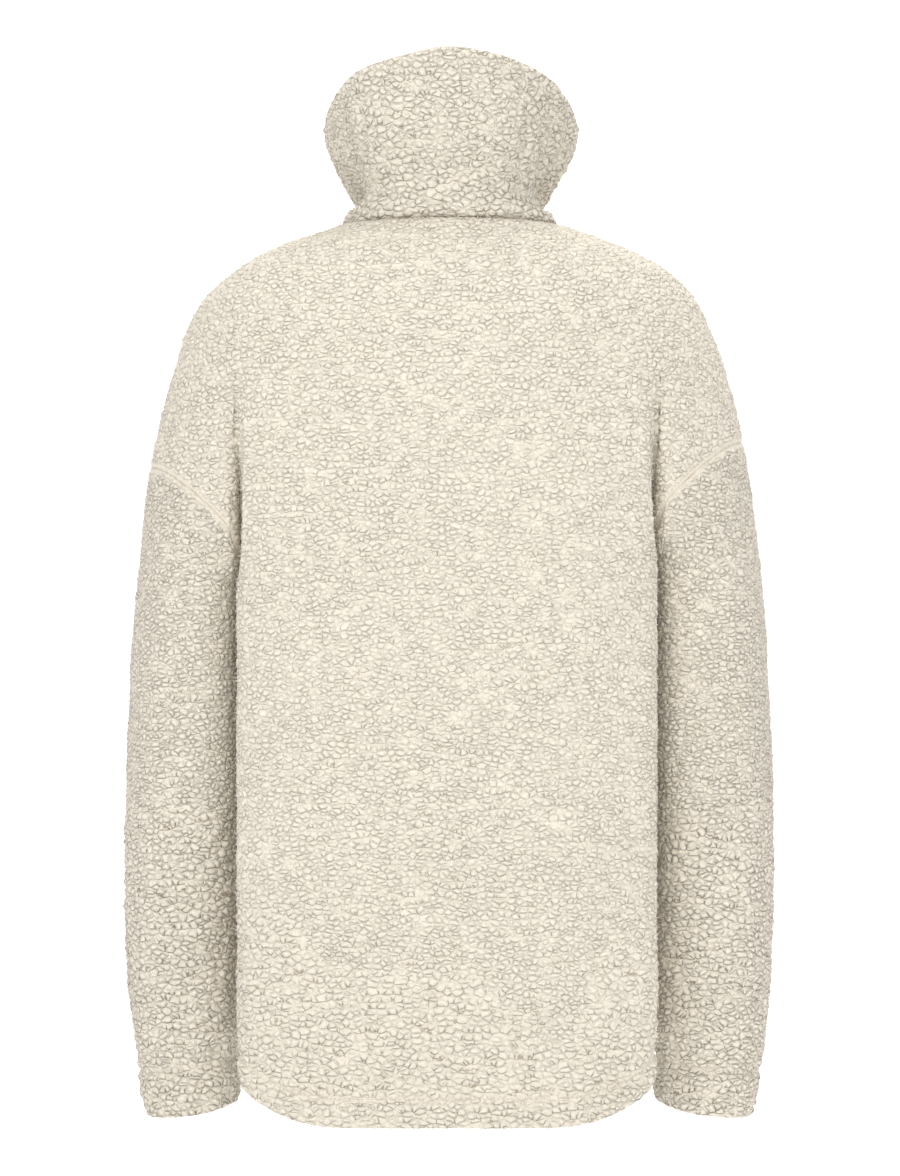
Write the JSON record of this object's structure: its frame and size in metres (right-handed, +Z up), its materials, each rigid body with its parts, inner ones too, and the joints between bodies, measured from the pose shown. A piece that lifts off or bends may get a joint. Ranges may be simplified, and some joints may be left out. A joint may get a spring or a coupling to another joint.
{
  "type": "pile fleece jacket",
  "caption": "Hip-length pile fleece jacket, filled out as worn, with dropped sleeves, a curved hem, a closed front zip and a tall collar fallen open at the front.",
  "frame": {"origin": "middle of the neck opening at shoulder level, where a wearer's neck holds the jacket", "axes": "+Z up, the front faces +Y and the back -Y, +X is the wearer's right"},
  "size_m": [0.5198, 0.2702, 0.8469],
  "materials": {
    "fleece": "deep matt pile, warm ivory",
    "zip_tape": "woven tape, warm ivory",
    "zip_metal": "satin nickel"
  },
  "bodies": {
    "jacket": {"back": "fleece", "front_left": "fleece", "front_right": "fleece", "sleeve_left": "fleece", "sleeve_right": "fleece", "collar": "fleece", "zip_left": "zip_tape", "zip_right": "zip_tape", "zip_slider": "zip_metal"},
    "pull_tab": {"zip_pull": "zip_metal"}
  },
  "joints": [
    {"name": "pull_tab_swing", "type": "hinge", "parent": "jacket", "child": "pull_tab", "pos_m": [0, 0.09802, -0.09103], "axis": [1, 0, 0], "range_deg": [0, 150]}
  ]
}
